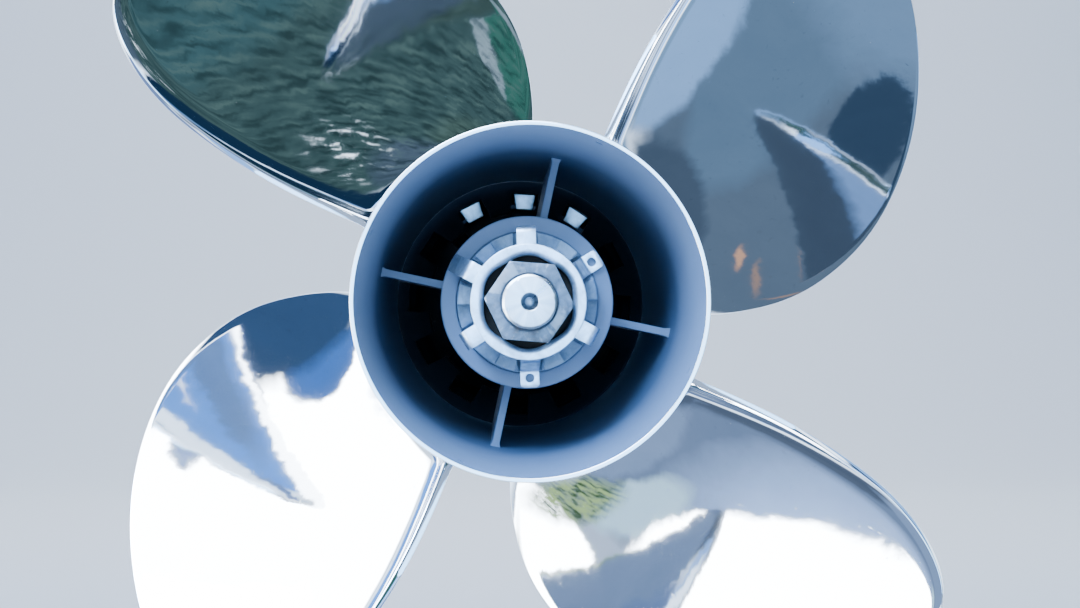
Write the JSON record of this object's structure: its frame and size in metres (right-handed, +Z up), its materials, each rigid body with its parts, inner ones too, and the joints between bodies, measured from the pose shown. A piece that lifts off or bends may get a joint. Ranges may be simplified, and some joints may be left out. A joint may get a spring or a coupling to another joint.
{
  "type": "boat propeller",
  "caption": "Polished screw propeller with exhaust passages through its hub, on a shaft that turns in a bearing carrier.",
  "frame": {"origin": "where the shaft line meets the plane of the bearing carrier's forward face", "axes": "+Y forward along the shaft line, +Z up as in the picture, -Y aft towards the viewer"},
  "size_m": [0.2818, 0.2682, 0.2818],
  "materials": {
    "polished_steel": "mirror-polished stainless casting, satin inside the barrel",
    "turned_steel": "turned bright steel",
    "dull_steel": "dull mottled steel",
    "zinc_sheet": "bright zinc-plated sheet",
    "composite": "matte filled plastic",
    "bronze": "machined bronze",
    "painted_casting": "dark painted casting",
    "rubber": "black rubber",
    "bearing_steel": "ground steel"
  },
  "bodies": {
    "carrier": {"bearing_carrier": "painted_casting", "ring_nut": "painted_casting", "lock_ring": "zinc_sheet", "carrier_o_ring": "rubber", "aft_shaft_seal": "rubber", "fore_shaft_seal": "rubber", "needle_bearing": "bearing_steel", "ball_bearing": "bearing_steel"},
    "rotor": {"propeller_casting": "polished_steel", "propeller_shaft": "turned_steel", "locknut": "dull_steel", "tab_washer": "zinc_sheet", "drive_sleeve": "composite", "splined_core": "bronze", "thrust_hub": "bronze"}
  },
  "joints": [
    {"name": "shaft_spin", "type": "hinge", "parent": "carrier", "child": "rotor", "pos_m": [0, 0, 0], "axis": [0, 1, 0], "continuous": true}
  ]
}
